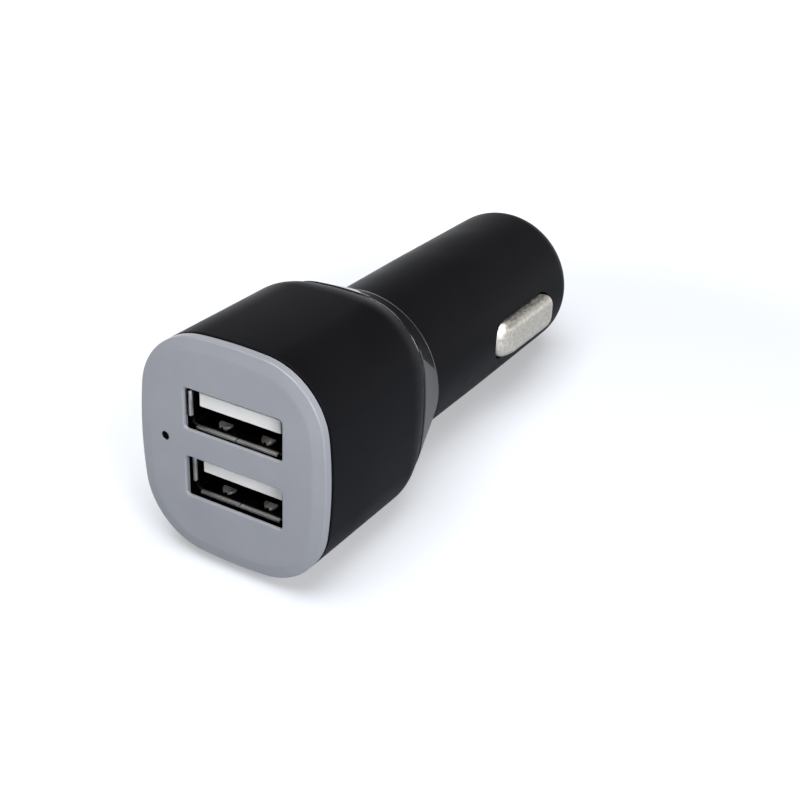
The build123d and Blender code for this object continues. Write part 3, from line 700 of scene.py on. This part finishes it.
nodeLooks = {
    "usb_shell_upper": "tinnedSteel", "usb_shell_lower": "tinnedSteel",
    "usb_insulator_upper": "whiteNylon", "usb_insulator_lower": "whiteNylon",
    "usb_contacts_upper": "goldFlash", "usb_contacts_lower": "goldFlash",
    "spring_terminal": "stampedBrass",
    "main_board": "lacqueredLaminate", "front_board": "lacqueredLaminate",
    "inductor_core": "sinteredFerrite", "inductor_winding": "enamelledCopper",
    "input_capacitor": "drawnAluminium", "output_capacitor": "drawnAluminium",
    "converter_chip": "mouldedEpoxy", "rectifier_diode": "mouldedEpoxy", "indicator_led": "smokedEpoxy",
    "chip_resistors": "firedCeramic", "chip_capacitors": "firedCeramic",
}
for nodeName, look in nodeLooks.items():
    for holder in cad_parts[nodeName].material_slots:
        holder.material = materials[look]
# The shells' sheared edges are rolled over and the tongues' edges softened, so that they catch the light
edgeRounds = {
    "usb_shell_upper": 0.13, "usb_shell_lower": 0.13,
    "usb_insulator_upper": 0.06, "usb_insulator_lower": 0.06,
}
edgeWork = {"weldReach": 0.002, "segments": 3, "leastTurn": 35}
for nodeName, size in edgeRounds.items():
    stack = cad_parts[nodeName].modifiers
    stack.new("weld", "WELD").merge_threshold = edgeWork["weldReach"] * mm
    rolled = stack.new("edgeRound", "BEVEL")
    rolled.width = size * mm
    rolled.segments = edgeWork["segments"]
    rolled.limit_method = "ANGLE"
    rolled.angle_limit = math.radians(edgeWork["leastTurn"])
print("stage: inner nodes dressed")

# Camera, found from the photo in the plug's own frame and laid down with it
view = {"azimuth": 30.113, "elevation": 27.668, "roll": 2.585, "across": -18.505, "above": -6.332,
        "distance": 151.520, "lens": 60.274, "sensor": 36.0, "clip": (0.001, 20.0)}


def cameraMatrix(v):
    azimuth = math.radians(v["azimuth"])
    elevation = math.radians(v["elevation"])
    roll = math.radians(v["roll"])
    back = Vector((math.sin(azimuth) * math.cos(elevation), -math.cos(azimuth) * math.cos(elevation),
                   math.sin(elevation)))
    level = Vector((math.cos(azimuth), math.sin(azimuth), 0))
    upright = back.cross(level)
    right = level * math.cos(roll) + upright * math.sin(roll)
    up = upright * math.cos(roll) - level * math.sin(roll)
    spot = back * v["distance"] - right * v["across"] - up * v["above"]
    turn = Matrix((right, up, back)).transposed().to_4x4()
    return Matrix.Translation(plugOrigin) @ layTurn @ Matrix.Translation(spot * mm) @ turn


camera = bpy.data.cameras.new("photoCamera")
camera.lens = view["lens"]
camera.sensor_width = view["sensor"]
camera.clip_start, camera.clip_end = view["clip"]
cameraObject = bpy.data.objects.new("photoCamera", camera)
bpy.context.collection.objects.link(cameraObject)
cameraObject.matrix_world = cameraMatrix(view)
scene = bpy.context.scene
scene.camera = cameraObject

# White paper floor. To the eye, and in what the plug mirrors, the paper is lifted to white and keeps the
# shadow. Near the plug, round a middle on its shadow side, it is lifted less: painted shade. Mirrored near
# the plug it stays dim, painted shade as in the plug's own shade.
floorLook = {"colour": "#b6bac1", "roughness": 0.9, "specular": 0.1, "reach": 4.0,
             "middle": (0.028, 0.004, 0),
             "seen": {"near": 0.045, "far": 0.13, "lift": (0.33, 1.0)},
             "mirrored": {"near": 0.05, "far": 0.11, "lift": (0.0, 0.9)}}
floorMesh = bpy.data.meshes.new("floor")
reach = floorLook["reach"]
floorMesh.from_pydata([(-reach, -reach, 0), (reach, -reach, 0), (reach, reach, 0), (-reach, reach, 0)], [],
                      [(0, 1, 2, 3)])
floor = bpy.data.objects.new("floor", floorMesh)
bpy.context.collection.objects.link(floor)
floorMaterial = bpy.data.materials.new("floorPaper")
floorMaterial.use_nodes = True
tree = floorMaterial.node_tree
paper = tree.nodes["Principled BSDF"]
paper.inputs["Base Color"].default_value = hexColour(floorLook["colour"])
paper.inputs["Roughness"].default_value = floorLook["roughness"]
paper.inputs["Specular IOR Level"].default_value = floorLook["specular"]
path = addNode(tree, "ShaderNodeLightPath")
spot = addNode(tree, "ShaderNodeTexCoord")
away = addNode(tree, "ShaderNodeVectorMath", {"operation": "DISTANCE", 1: floorLook["middle"]},
               {0: spot.outputs["Object"]})


def floorLift(ray, look):
    # The paper's lift for one kind of ray, growing away from the plug, so that painted shade lies round it
    grown = addNode(tree, "ShaderNodeMapRange",
                    {"interpolation_type": "SMOOTHSTEP", "From Min": look["near"], "From Max": look["far"],
                     "To Min": look["lift"][0], "To Max": look["lift"][1]}, {"Value": away.outputs["Value"]})
    return addNode(tree, "ShaderNodeMath", {"operation": "MULTIPLY"}, {0: grown.outputs["Result"], 1: ray})


mirrored = addNode(tree, "ShaderNodeMath", {"operation": "MAXIMUM"},
                   {0: path.outputs["Is Glossy Ray"], 1: path.outputs["Is Transmission Ray"]})
seenLift = floorLift(path.outputs["Is Camera Ray"], floorLook["seen"])
mirrorLift = floorLift(mirrored.outputs["Value"], floorLook["mirrored"])
lift = addNode(tree, "ShaderNodeMath", {"operation": "ADD"},
               {0: seenLift.outputs["Value"], 1: mirrorLift.outputs["Value"]})
paper.inputs["Emission Color"].default_value = (1, 1, 1, 1)
tree.links.new(lift.outputs["Value"], paper.inputs["Emission Strength"])
floorMesh.materials.append(floorMaterial)

# Dim room. To the eye and in reflections it has a white backdrop round the horizon, a white wall in front of
# the face, and a pale card behind the plug to the right.
roomLook = {"colour": "#fcfdff", "strength": 0.12, "white": 1.0,
            "backdrop": (0.16, 0.42), "wall": (-0.1, -0.5),
            "card": {"towards": (0.5, 0.77, 0.4), "edge": (0.88, 0.96), "white": 0.6}}
world = bpy.data.worlds.new("studio")
scene.world = world
world.use_nodes = True
tree = world.node_tree
room = tree.nodes["Background"]
room.inputs["Color"].default_value = hexColour(roomLook["colour"])
direction = addNode(tree, "ShaderNodeTexCoord")
heading = addNode(tree, "ShaderNodeSeparateXYZ", links={"Vector": direction.outputs["Generated"]})
extra = roomLook["white"] - roomLook["strength"]
band = addNode(tree, "ShaderNodeMapRange",
               {"interpolation_type": "SMOOTHSTEP", "From Min": roomLook["backdrop"][0],
                "From Max": roomLook["backdrop"][1], "To Min": extra, "To Max": 0.0},
               {"Value": heading.outputs["Z"]})
wall = addNode(tree, "ShaderNodeMapRange",
               {"interpolation_type": "SMOOTHSTEP", "From Min": roomLook["wall"][0],
                "From Max": roomLook["wall"][1], "To Min": 0.0, "To Max": extra},
               {"Value": heading.outputs["Y"]})
bright = addNode(tree, "ShaderNodeMath", {"operation": "MAXIMUM"},
                 {0: band.outputs["Result"], 1: wall.outputs["Result"]})
cardLook = roomLook["card"]
facing = addNode(tree, "ShaderNodeVectorMath", {"operation": "DOT_PRODUCT", 1: cardLook["towards"]},
                 {0: direction.outputs["Generated"]})
card = addNode(tree, "ShaderNodeMapRange",
               {"interpolation_type": "SMOOTHSTEP", "From Min": cardLook["edge"][0],
                "From Max": cardLook["edge"][1], "To Min": 0.0,
                "To Max": cardLook["white"] - roomLook["strength"]}, {"Value": facing.outputs["Value"]})
pale = addNode(tree, "ShaderNodeMath", {"operation": "MAXIMUM"},
               {0: bright.outputs["Value"], 1: card.outputs["Result"]})
path = addNode(tree, "ShaderNodeLightPath")
mirrored = addNode(tree, "ShaderNodeMath", {"operation": "MAXIMUM"},
                   {0: path.outputs["Is Glossy Ray"], 1: path.outputs["Is Transmission Ray"]})
shown = addNode(tree, "ShaderNodeMath", {"operation": "MAXIMUM"},
                {0: path.outputs["Is Camera Ray"], 1: mirrored.outputs["Value"]})
level = addNode(tree, "ShaderNodeMath", {"operation": "MULTIPLY_ADD", 2: roomLook["strength"]},
                {0: pale.outputs["Value"], 1: shown.outputs["Value"]})
tree.links.new(level.outputs["Value"], room.inputs["Strength"])

lamps = {
    # soft box overhead, a little to the right and in front: the floor, and the plate's upper right edge
    "overheadBox": {"at": (0.03, -0.1, 0.46), "aim": (0, 0, 0), "size": (0.4, 0.4), "power": 2.9},
    # near panel at the right, a little in front: the plate's right wall, and the face from its right
    "sidePanel": {"at": (0.16, -0.118, 0.1), "aim": (0, -0.03, 0.015), "size": (0.07, 0.07), "power": 0.3},
}
for lampName, lamp in lamps.items():
    light = bpy.data.lights.new(lampName, "AREA")
    light.shape = "RECTANGLE"
    light.size, light.size_y = lamp["size"]
    light.energy = lamp["power"]
    lightObject = bpy.data.objects.new(lampName, light)
    bpy.context.collection.objects.link(lightObject)
    lightObject.location = lamp["at"]
    shine = Vector(lamp["aim"]) - Vector(lamp["at"])
    lightObject.rotation_euler = shine.to_track_quat("-Z", "Y").to_euler()

scene.view_settings.view_transform = "Standard"
print("stage: camera, floor and light")
